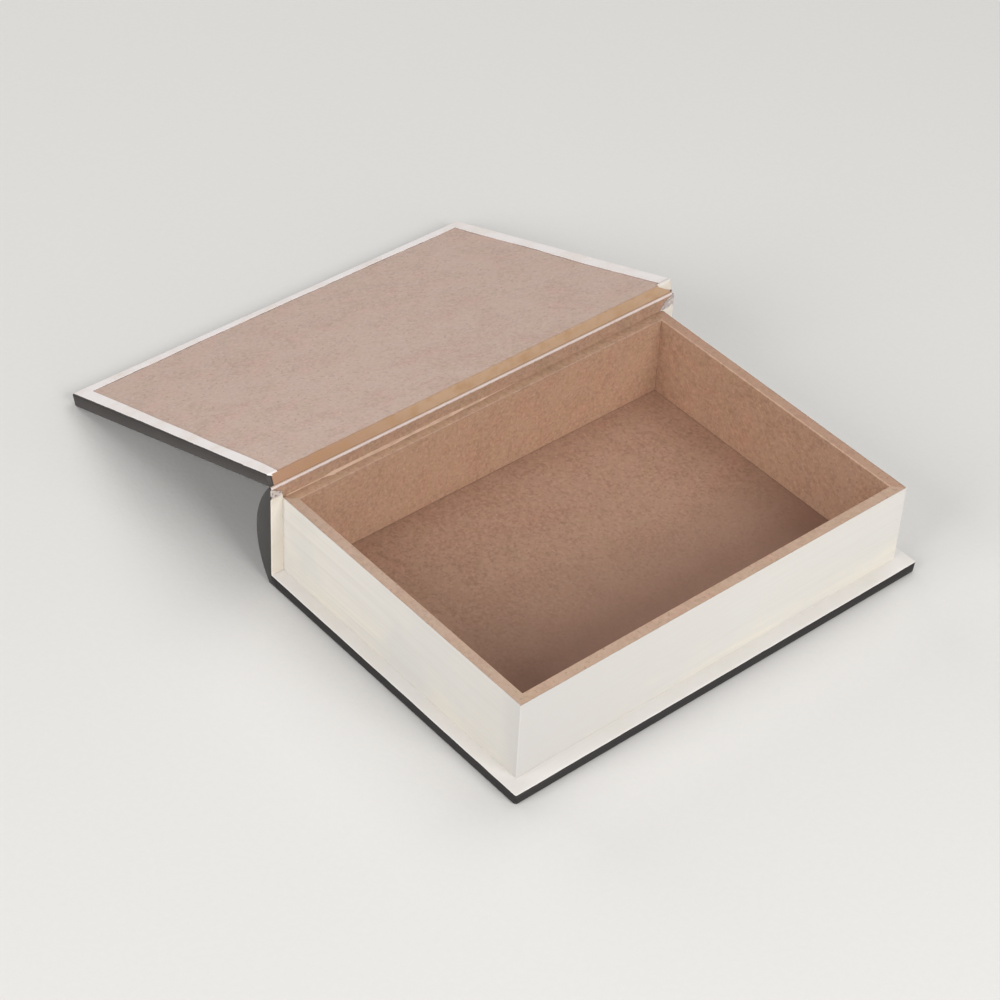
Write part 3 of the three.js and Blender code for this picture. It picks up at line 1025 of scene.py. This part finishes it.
@dataclass
class Tray:
    """The four mitred walls of the tray, with softened arrises and glue along the spine wall."""

    body: str = "case"
    inner_round: float = 0.55
    other_round: float = 0.14
    foot_round: float = 0.45
    mitre_reach: float = 0.068
    bead_along: float = 1.15
    bead_up: float = 0.95
    bead_end: float = 22.0
    bead_blob: float = -97.0
    blob_reach: float = 1.9
    thin_along: float = 0.28
    thin_up: float = 0.06

    def build(self) -> None:
        """Builds the walls. Each has its face, its rim and its rubbed inner arris in three slots."""
        place = Matrix()
        face, arris = (side.value.material(place) for side in (Board.WALL, Board.ARRIS))
        spine_arris = Board.SPINE_ARRIS.value.material(place)
        rims = {
            "head": Board.HEAD_RIM,
            "tail": Board.TAIL_RIM,
            "fore_edge": Board.FORE_RIM,
            "spine": Board.SPINE_RIM,
        }
        for side, rim in rims.items():
            wall = self.soft_wall(f"{side}_wall")
            dress(wall, face, rim.value.material(place), spine_arris if side == "spine" else arris)
            settle(wall, self.body, "wall_board", f"{side}_wall")
        self.build_bead()

    def soft_wall(self, node: str) -> Object:
        """A copy of a wall whose top inner arris is rubbed round, and whose other edges are eased."""
        low, high = corners(node)
        middle = (low + high) / 2 * MM
        shape = merged_copy(node, Matrix())
        for face in shape.faces:
            face.material_index = 1 if face.normal.z > 0.9 else 0
            if self.is_mitre(face):
                bmesh.ops.translate(shape, verts=list(face.verts), vec=face.normal * self.mitre_reach * MM)
        ease(shape, self.inner_arris(shape, middle, high.z * MM), self.inner_round, 3, 2)
        ease(shape, self.inner_arris(shape, middle, low.z * MM), self.foot_round, 2, -1)
        ease(shape, [e for e in sharp_edges(shape) if not self.in_glued_mitre(e)], self.other_round, 2, -1)
        return shape_piece(f"{node}_board", shape)

    def is_mitre(self, face: bmesh.types.BMFace) -> bool:
        """Whether a face is the mitred end of a wall."""
        return min(abs(face.normal.x), abs(face.normal.y)) > 0.5

    def in_glued_mitre(self, edge: bmesh.types.BMEdge) -> bool:
        """Whether an edge runs across the rim or the foot in a mitre, where glue fills the joint."""
        level = abs(edge.verts[0].co.z - edge.verts[1].co.z) < 0.5 * MM
        return level and any(self.is_mitre(face) for face in edge.link_faces)

    def inner_arris(self, shape: bmesh.types.BMesh, middle: Vector, level: float) -> list:
        """The long edge of a wall at a level, on the side of the tray's hollow."""
        found = []
        for edge in shape.edges:
            run = edge.verts[1].co - edge.verts[0].co
            level_run = all(abs(v.co.z - level) < 0.01 * MM for v in edge.verts)
            if not level_run or min(abs(run.x), abs(run.y)) > 0.01 * MM:
                continue
            centre = (edge.verts[0].co + edge.verts[1].co) / 2
            aside = 1 if abs(run.x) > abs(run.y) else 0
            if abs(centre[aside]) < abs(middle[aside]):
                found.append(edge)
        return found

    def build_bead(self) -> None:
        """Builds the glue that was squeezed out between the spine wall and the spine, at the head."""
        low, high = corners("spine_wall")
        corner = Vector((corners("spine_board")[1].x, 0, high.z))
        steps = round(high.y - low.y - 4.0)
        rings = []
        for i in range(steps + 1):
            y = low.y + 2.0 + i
            fade = min(max((self.bead_end - y) / 40.0, 0.0), 1.0)
            fade *= min(max((y - self.bead_blob + 7.0) / 7.0, 0.25), 1.0)
            fade *= 1.0 + 0.35 * wander(y, 4.0, 9.0) + 0.2 * wander(y, 8.0, 2.5)
            blob = math.exp(-(((y - self.bead_blob) / self.blob_reach) ** 2))
            along = self.thin_along + (self.bead_along - self.thin_along) * fade + 0.55 * blob
            up = self.thin_up + (self.bead_up - self.thin_up) * fade + 0.15 * blob
            section = [(0, up), (0.3 * along, 0.7 * up), (0.7 * along, 0.35 * up)]
            section += [(along, 0.0), (along, -0.15), (0, -0.15)]
            rings.append([corner + Vector((x, y, z)) for x, z in section])
        bead = loft("dried_glue_bead", rings, Matrix())
        dress(bead, DriedGlue("dried_wood_glue", dusty_from=self.bead_end).material(Matrix()))
        settle(bead, self.body, "wall_board")


@dataclass
class PageBlock:
    """The paper round the head, the fore edge and the tail of the tray, printed like a block of leaves.

    Its shape follows a rule, one ridged section along one path, so Geometry Nodes make it.
    """

    body: str = "case"
    corner_radius: float = 0.4
    step: float = 5.0
    leaves: int = 34
    relief: float = 0.025
    ragged: float = 0.5
    shear_pitch: int = 14
    proud: float = 0.4
    seed: int = 7

    def build(self) -> None:
        """Sweeps the ridged section along the path and dresses it."""
        nodes = ("head_pages", "fore_edge_pages", "tail_pages")
        low, high = corners(*nodes)
        high.z += self.proud
        paper_low, paper_high = corners("head_pages")
        thickness = paper_high.y - paper_low.y
        wrap = self.path(low, high, thickness / 2)
        modifier = wrap.modifiers.new("leaf_edges", "NODES")
        modifier.node_group = self.sweep_tree()
        values = {
            "Thickness": thickness * MM,
            "Height": (high.z - low.z) * MM,
            "Leaves": self.leaves,
            "Relief": self.relief * MM,
            "Ragged": self.ragged * MM,
            "Seed": self.seed,
            "Paper": LeafPaper("leaf_edge_paper", low, high).material(Matrix()),
        }
        for item in modifier.node_group.interface.items_tree:
            if item.in_out == "INPUT" and item.name in values:
                modifier[item.identifier] = values[item.name]
        shown = wrap.evaluated_get(bpy.context.evaluated_depsgraph_get())
        swept = bpy.data.meshes.new_from_object(shown)
        wrap.modifiers.clear()
        wrap.data = swept
        shape = bmesh.new()
        shape.from_mesh(swept)
        bmesh.ops.recalc_face_normals(shape, faces=shape.faces)
        shape.to_mesh(swept)
        shape.free()
        smooth(wrap, 30.0)
        settle(wrap, self.body, "page_paper", *nodes)

    def path(self, low: Vector, high: Vector, inset: float) -> Object:
        """The line along the middle of the paper, at half its height, as a string of edges.

        Args:
            low: the page papers' lowest corner in millimetres.
            high: their highest corner in millimetres.
            inset: half the paper's thickness.

        Returns:
            An object that holds the line.
        """
        radius = self.corner_radius
        start, end = low.x + 0.001, high.x - inset
        side, level = high.y - inset, (low.z + high.z) / 2
        steps = round((end - radius - start) / self.step)
        leg = [Vector((start + (end - radius - start) * i / steps, side, level)) for i in range(steps + 1)]
        turns = [math.pi / 2 * i / 5 for i in range(1, 5)]
        centre = Vector((end - radius, side - radius, level))
        leg += [centre + Vector((math.sin(a), math.cos(a), 0)) * radius for a in turns]
        steps = round((side - radius) / self.step)
        leg += [Vector((end, (side - radius) * (1 - i / steps), level)) for i in range(steps)]
        back = [Vector((p.x, -p.y, p.z)) for p in reversed(leg)]
        points = [*leg, Vector((end, 0, level)), *back]
        mesh = bpy.data.meshes.new("page_wrap")
        edges = [(i, i + 1) for i in range(len(points) - 1)]
        mesh.from_pydata([p * MM for p in reversed(points)], edges, [])
        wrap = bpy.data.objects.new("page_wrap", mesh)
        bpy.context.scene.collection.objects.link(wrap)
        return wrap

    def sweep_tree(self) -> bpy.types.GeometryNodeTree:
        """The node tree that sweeps a section with one ridge a bundle of leaves along a line."""
        tree = bpy.data.node_groups.new("leaf_edge_sweep", "GeometryNodeTree")
        inputs = {
            "Path": "NodeSocketGeometry", "Thickness": "NodeSocketFloat", "Height": "NodeSocketFloat",
            "Leaves": "NodeSocketInt", "Relief": "NodeSocketFloat", "Ragged": "NodeSocketFloat",
            "Seed": "NodeSocketInt", "Paper": "NodeSocketMaterial",
        }
        for name, kind in inputs.items():
            tree.interface.new_socket(name, in_out="INPUT", socket_type=kind)
        tree.interface.new_socket("Mesh", in_out="OUTPUT", socket_type="NodeSocketGeometry")
        given = add_node(tree, "NodeGroupInput").outputs
        outline = add_node(tree, "GeometryNodeCurvePrimitiveQuadrilateral", {
            "Width": given["Thickness"], "Height": given["Height"],
        })
        ridged = add_node(tree, "GeometryNodeSubdivideCurve", {"Curve": outline, "Cuts": given["Leaves"]})
        position = add_node(tree, "GeometryNodeInputPosition")
        across, up, _ = add_node(tree, "ShaderNodeSeparateXYZ", {0: position}).outputs
        half = add_node(tree, "ShaderNodeMath", {0: given["Height"], 1: 0.49}, operation="MULTIPLY")
        level = add_node(tree, "ShaderNodeMath", {0: up}, operation="ABSOLUTE")
        inside = add_node(tree, "ShaderNodeMath", {0: level, 1: half}, operation="LESS_THAN")
        outside = add_node(tree, "ShaderNodeMath", {0: across, 1: 0.0}, operation="LESS_THAN")
        chosen = add_node(tree, "ShaderNodeMath", {0: outside, 1: inside}, operation="MULTIPLY")
        depth = add_node(tree, "FunctionNodeRandomValue", {
            "Min": 0.0, "Max": given["Relief"], "Seed": given["Seed"],
        }, data_type="FLOAT")
        carved = add_node(tree, "GeometryNodeSetPosition", {
            "Geometry": ridged, "Selection": chosen,
            "Offset": add_node(tree, "ShaderNodeCombineXYZ", {0: depth}),
        })
        line = add_node(tree, "GeometryNodeMeshToCurve", {"Mesh": given["Path"]})
        upright = add_node(tree, "GeometryNodeSetCurveNormal", {"Curve": line}, mode="Z_UP")
        swept = add_node(tree, "GeometryNodeCurveToMesh", {
            "Curve": upright, "Profile Curve": carved, "Fill Caps": True,
        })
        torn = self.ragged_top(tree, swept, position, given["Ragged"])
        realized = add_node(tree, "GeometryNodeRealizeInstances", {"Geometry": torn})
        inputs = {"Geometry": realized, "Material": given["Paper"]}
        papered = add_node(tree, "GeometryNodeSetMaterial", inputs)
        add_node(tree, "NodeGroupOutput", {"Mesh": papered})
        return tree

    def ragged_top(self, tree: Tree, swept: Value, position: Value, ragged: Value) -> Value:
        """Lowers the paper's top edge here and there, as shears leave it.

        Args:
            tree: the geometry tree.
            swept: the swept paper.
            position: the position field.
            ragged: how far the lowest places lie below the top.

        Returns:
            The paper with its ragged top.
        """
        height = add_node(tree, "ShaderNodeSeparateXYZ", {0: position}).outputs[2]
        box = add_node(tree, "GeometryNodeBoundBox", {"Geometry": swept}).outputs["Max"]
        top = add_node(tree, "ShaderNodeSeparateXYZ", {0: box}).outputs[2]
        brink = add_node(tree, "ShaderNodeMath", {0: top, 1: 0.3 * MM}, operation="SUBTRACT")
        at_top = add_node(tree, "ShaderNodeMath", {0: height, 1: brink}, operation="GREATER_THAN")
        inputs = {"Vector": position, "Scale": 1 / (self.shear_pitch * MM), "Detail": 2.0}
        shear = add_node(tree, "ShaderNodeTexNoise", inputs)
        drop = add_node(tree, "ShaderNodeMath", {0: shear, 1: ragged}, operation="MULTIPLY")
        fall = add_node(tree, "ShaderNodeMath", {0: drop, 1: -1.0}, operation="MULTIPLY")
        return add_node(tree, "GeometryNodeSetPosition", {
            "Geometry": swept, "Selection": at_top,
            "Offset": add_node(tree, "ShaderNodeCombineXYZ", {2: fall}),
        })


@dataclass(frozen=True)
class SpineEnd:
    """How the white border at one end of the spine was cut, as heights and distances from that end."""

    name: str
    side: int
    cut: tuple[tuple[float, float], ...]
    grey_from: float
    notch: tuple[tuple[float, float], ...] = ((0.0, 0.02), (70.0, 0.02))


@dataclass
class Spine:
    """The round-backed spine board with its covering, which is turned in over both of its ends."""

    ends: tuple[SpineEnd, SpineEnd]
    shade: str
    body: str = "case"
    flat: float = 2.0
    end_radius: float = 0.9
    end_steps: int = 5
    arc_steps: int = 72
    cloth: float = 0.5
    step: float = 3.0
    border_step: float = 0.9

    def __post_init__(self) -> None:
        """Finds the spine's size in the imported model."""
        self.low, self.high = corners("spine_cover_cloth")

    def outline(self, inset: float) -> list[Vector]:
        """The round back across the spine at y = 0, from the top's inner edge to the bottom's.

        Args:
            inset: how far the outline lies inside the covering's outer face, in millimetres.

        Returns:
            The points.
        """
        half = (self.high.z - self.low.z) / 2
        centre_z = self.low.z + half
        rise = self.high.x - self.low.x - self.flat
        radius = (half * half + rise * rise) / (2 * rise)
        centre_x = self.low.x + radius
        reach = half - inset
        angle = math.asin(reach / (radius - inset))
        points = [Vector((self.high.x, 0, centre_z + reach))]
        for i in range(self.arc_steps + 1):
            turn = angle * (1 - 2 * i / self.arc_steps)
            x = centre_x - (radius - inset) * math.cos(turn)
            points.append(Vector((x, 0, centre_z + (radius - inset) * math.sin(turn))))
        points.append(Vector((self.high.x, 0, centre_z - reach)))
        return points

    def rows(self) -> list[list[Vector]]:
        """The covering's outer face as lines across the spine, from end to end."""
        half = self.high.y
        reach = half - self.end_radius
        turns = [math.pi / 2 * i / self.end_steps for i in range(self.end_steps, -1, -1)]
        radius = self.end_radius
        ends = [(half - radius * (1 - math.sin(a)), radius * (1 - math.cos(a))) for a in turns]
        steps = round(2 * reach / self.step)
        places = [(-y, inset) for y, inset in ends]
        places += [(reach * (2 * i / steps - 1), 0.0) for i in range(1, steps)]
        places += list(reversed(ends))
        lines = [[p + Vector((0, y, 0)) for p in self.outline(inset)] for y, inset in places]
        return [self.chord(lines[0]), *lines, self.chord(lines[-1])]

    def chord(self, line: list[Vector]) -> list[Vector]:
        """The spine's flat edge under an outline, with as many points, to fill the end between them."""
        top, bottom = line[0], line[-1]
        return [Vector((top.x, p.y, min(max(p.z, bottom.z), top.z))) for p in line]

    def build(self) -> None:
        """Builds the covering and its two white ends, and dresses the board."""
        covering = glued_sheet("spine_covering", self.rows(), Matrix(), self.cloth)
        coated = CoatedCloth("coated_cloth_spine", self.low, self.high, self.shade)
        dress(covering, coated.material(Matrix()))
        settle(covering, self.body, "dark_covering", "spine_cover_cloth")
        dress(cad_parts["spine_board"], Board.SPINE.value.material(Matrix()))
        for end in self.ends:
            self.build_end(end)

    def build_end(self, end: SpineEnd) -> None:
        """Builds the white border that is turned in over one end of the spine board."""
        node = f"spine_turn_in_{end.name}"
        low, high = corners(node)
        steps = round((high.z - low.z) / self.border_step)
        stations = []
        for i in range(steps + 1):
            z = low.z + (high.z - low.z) * i / steps
            notch = at_heights(end.notch, z)
            width = at_heights(end.cut, z) - notch + 0.08 * wander(z, 3.0 + end.side, 2.0)
            arris = Vector((high.x, end.side * (self.high.y - notch), z))
            stations.append(Station(arris, Vector((0, -end.side * width, 0)), Vector((1, 0, 0))))
        border = Border(seed=4.0 + end.side).build(f"spine_{end.name}_border", stations, Matrix())
        cloth = SpineEndCloth(f"unprinted_cloth_spine_{end.name}", "#dfd8cd", height=end.grey_from)
        dress(border, cloth.material(Matrix()))
        settle(border, self.body, "white_flap", node)


@dataclass
class Hinge:
    """The strip of covering between spine and lid, folded back on itself when the lid is open."""

    lid: Lid
    shade: str
    thickness: float = 0.45
    nose: float = 0.75
    step: float = 2.5
    head_end: float = -134.9
    tail_end: float = 133.3
    half_blend: float = 0.18

    def __post_init__(self) -> None:
        """Finds where the fold leaves the spine board and where it goes under the lid's board."""
        spine = corners("spine_cover_cloth")[1]
        self.foot = Vector((spine.x + 0.05, 0, spine.z - 0.48))
        under = self.lid.placing @ (Vector((-0.05, 0, 0.5)) * MM) / MM
        self.top = Vector((under.x, 0, under.z))

    def fold(self, inset: float, bulge: float) -> list[Vector]:
        """The fold's outline at y = 0, from its foot to its top.

        Args:
            inset: how far the line lies behind the strip's white face, in millimetres.
            bulge: how far the fold stands out here, in millimetres.

        Returns:
            The points.
        """
        half = (self.top - self.foot) / 2
        rise = half.normalized()
        out = Vector((rise.z, 0, -rise.x))
        points = []
        for i in range(13):
            a = math.pi * i / 12
            level = self.foot + half - rise * (half.length - inset) * math.cos(a)
            points.append(level + out * (bulge - inset) * math.sin(a))
        return points

    def build(self) -> None:
        """Builds the strip and dresses both of its faces."""
        steps = round((self.tail_end - self.head_end) / self.step)
        rings = []
        for i in range(steps + 1):
            y = self.head_end + (self.tail_end - self.head_end) * i / steps
            bulge = self.nose + 0.10 * wander(y, 2.0, 11.0) + 0.06 * wander(y, 6.0, 3.0)
            outline = [*self.fold(0.0, bulge), *reversed(self.fold(self.thickness, bulge))]
            rings.append([p + Vector((0, y, 0)) for p in outline])
        strip = loft("hinge_strip", rings, Matrix())
        rise = self.top - self.foot
        chart = strip.data.uv_layers.new(name="along_and_up").data
        for face in strip.data.polygons:
            face.material_index = 0 if face.normal.x > 0.05 and abs(face.normal.y) < 0.5 else 1
            for loop in face.loop_indices:
                spot = strip.data.vertices[strip.data.loops[loop].vertex_index].co / MM
                chart[loop].uv = (spot.y, (spot - self.foot).dot(rise) / rise.length)
        white = FoldCloth("unprinted_cloth_hinge", "#e0d4cf", (0.95, 0.86, 0.83), rise.length)
        dark = CoatedCloth("coated_cloth_hinge", *corners("hinge_cloth"), self.shade)
        dress(strip, white.material(), dark.material(Matrix()))
        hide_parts("hinge_cloth")
        self.let_bend(strip)

    def let_bend(self, strip: Object) -> None:
        """Bakes the strip's placing into its mesh."""
        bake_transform(strip)


@dataclass(frozen=True)
class Lamp:
    """A large soft lamp, by the side and the height that it stands at round the box, in degrees."""

    name: str
    azimuth: float
    elevation: float
    watts: float
    size: float = 1100.0
    distance: float = 1900.0


@dataclass(frozen=True)
class Studio:
    """The plain pale floor, the soft light, and the camera at the photograph's viewpoint."""

    aim: tuple[float, float, float] = (-76.38, -0.18, 0.0)
    azimuth: float = 47.937
    elevation: float = 41.021
    roll: float = 3.315
    distance: float = 1525.06
    lens: float = 104.237
    floor_size: float = 8000.0
    world_light: float = 0.23
    lamps: tuple[Lamp, ...] = (
        Lamp("head_lamp", 0.0, 30.0, 19.3),
        Lamp("fore_edge_lamp", 90.0, 30.0, 26.2),
        Lamp("back_lamp", 200.0, 55.0, 9.5),
        Lamp("spine_lamp", 270.0, 30.0, 7.5),
    )

    def towards(self, azimuth: float, elevation: float) -> Vector:
        """The direction from the object to a place round it. Azimuth 0 is in front of the head."""
        a, e = math.radians(azimuth), math.radians(elevation)
        return Vector((math.sin(a) * math.cos(e), -math.cos(a) * math.cos(e), math.sin(e)))

    def build(self) -> None:
        """Makes the camera, the floor, the lamps and the world."""
        self.add_camera()
        self.add_floor()
        for lamp in self.lamps:
            self.add_lamp(lamp)
        self.add_world()
        bpy.context.scene.view_settings.view_transform = "Standard"

    def add_camera(self) -> None:
        """Puts the camera where the photograph was taken from."""
        camera = bpy.data.objects.new("camera", bpy.data.cameras.new("camera"))
        bpy.context.scene.collection.objects.link(camera)
        camera.data.lens = self.lens
        back = self.towards(self.azimuth, self.elevation)
        camera.rotation_mode = "QUATERNION"
        camera.location = (Vector(self.aim) + back * self.distance) * MM
        level = (-back).to_track_quat("-Z", "Y")
        camera.rotation_quaternion = level @ Quaternion((0, 0, 1), math.radians(self.roll))
        bpy.context.scene.camera = camera

    def add_floor(self) -> None:
        """Lays the floor under the box."""
        half = self.floor_size / 2
        corners_at = ((-half, -half), (half, -half), (half, half), (-half, half))
        points = [Vector((x, y, -0.05)) for x, y in corners_at]
        floor = new_piece("floor", points, [(0, 1, 2, 3)], Matrix())
        dress(floor, StudioPaper("background_paper").material(Matrix()))

    def add_lamp(self, lamp: Lamp) -> None:
        """Hangs a lamp, facing the box."""
        light = bpy.data.lights.new(lamp.name, "AREA")
        light.size = lamp.size * MM
        light.energy = lamp.watts
        hung = bpy.data.objects.new(lamp.name, light)
        bpy.context.scene.collection.objects.link(hung)
        out = self.towards(lamp.azimuth, lamp.elevation)
        hung.location = out * lamp.distance * MM
        hung.rotation_mode = "QUATERNION"
        hung.rotation_quaternion = (-out).to_track_quat("-Z", "Y")

    def add_world(self) -> None:
        """Fills the room with even light, and shows the camera a pale backdrop past the floor."""
        world = bpy.data.worlds.new("studio")
        world.use_nodes = True
        tree = world.node_tree
        tree.nodes.clear()
        rays = add_node(tree, "ShaderNodeLightPath").outputs
        even = {"Color": linear("#ffffff"), "Strength": self.world_light}
        light = add_node(tree, "ShaderNodeBackground", even)
        shown = add_node(tree, "ShaderNodeBackground", {"Color": linear("#e4e2df"), "Strength": 1.0})
        seen = add_node(tree, "ShaderNodeMixShader", {0: rays["Is Camera Ray"], 1: light, 2: shown})
        add_node(tree, "ShaderNodeOutputWorld", {"Surface": seen})
        bpy.context.scene.world = world


def main() -> None:
    """Builds the box's looks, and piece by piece."""
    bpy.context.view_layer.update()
    Studio().build()
    LOG.info("studio: camera, floor and light")
    even = BorderWidths((7.33, 7.33), (7.33, 7.33), (8.58, 8.58))
    Base("base", "case", 1, even, "#211d1d", waver=0.0, seed=2.0).build()
    LOG.info("base: covering, border and floor")
    Tray().build()
    LOG.info("tray: four walls and a bead of glue")
    PageBlock().build()
    LOG.info("page block: one paper round three sides")
    head = SpineEnd(
        "head", -1,
        cut=((0.0, 7.32), (57.3, 7.3), (58.4, 6.6), (59.6, 6.9), (60.6, 5.4), (62.0, 2.7), (63.3, 1.0)),
        grey_from=57.6,
        notch=(
            (0.0, 0.02), (57.0, 0.02), (57.5, 0.9), (58.2, 1.5), (59.0, 0.7), (59.5, 0.02), (70.0, 0.02),
        ),
    )
    tail = SpineEnd(
        "tail", 1,
        cut=((0.0, 7.32), (55.2, 7.3), (55.5, 9.9), (57.0, 9.0), (59.7, 6.9), (61.8, 4.7), (62.6, 1.1)),
        grey_from=56.2,
    )
    Spine((head, tail), "#3e3c3a").build()
    LOG.info("spine: covering, board and two borders")
    widths = BorderWidths(
        low_side=(7.1, 7.35, 7.45, 7.9, 8.1, 7.85, 7.6, 7.05, 7.0, 7.35, 7.4, 7.6, 7.3),
        high_side=(6.2, 7.15, 7.35, 7.3, 7.3, 8.0, 8.1, 8.2, 8.5, 8.9, 8.95, 9.2, 9.1),
        fore_edge=(7.2, 7.1, 6.6, 5.8, 5.7, 5.7, 5.7, 6.1, 6.0, 6.0, 6.9, 6.8),
    )
    lid = Lid("lid", "lid", -1, widths, "#3d3937", seed=5.0, print_over=(0.4, 1.45))
    lid.build()
    LOG.info("lid: covering, border, bare board and corner tuck")
    Hinge(lid, "#3e3c3a").build()
    LOG.info("hinge: the strip that bends")


if __name__ == "__main__":
    logging.basicConfig(level=logging.INFO, format="%(name)s %(message)s")
    main()
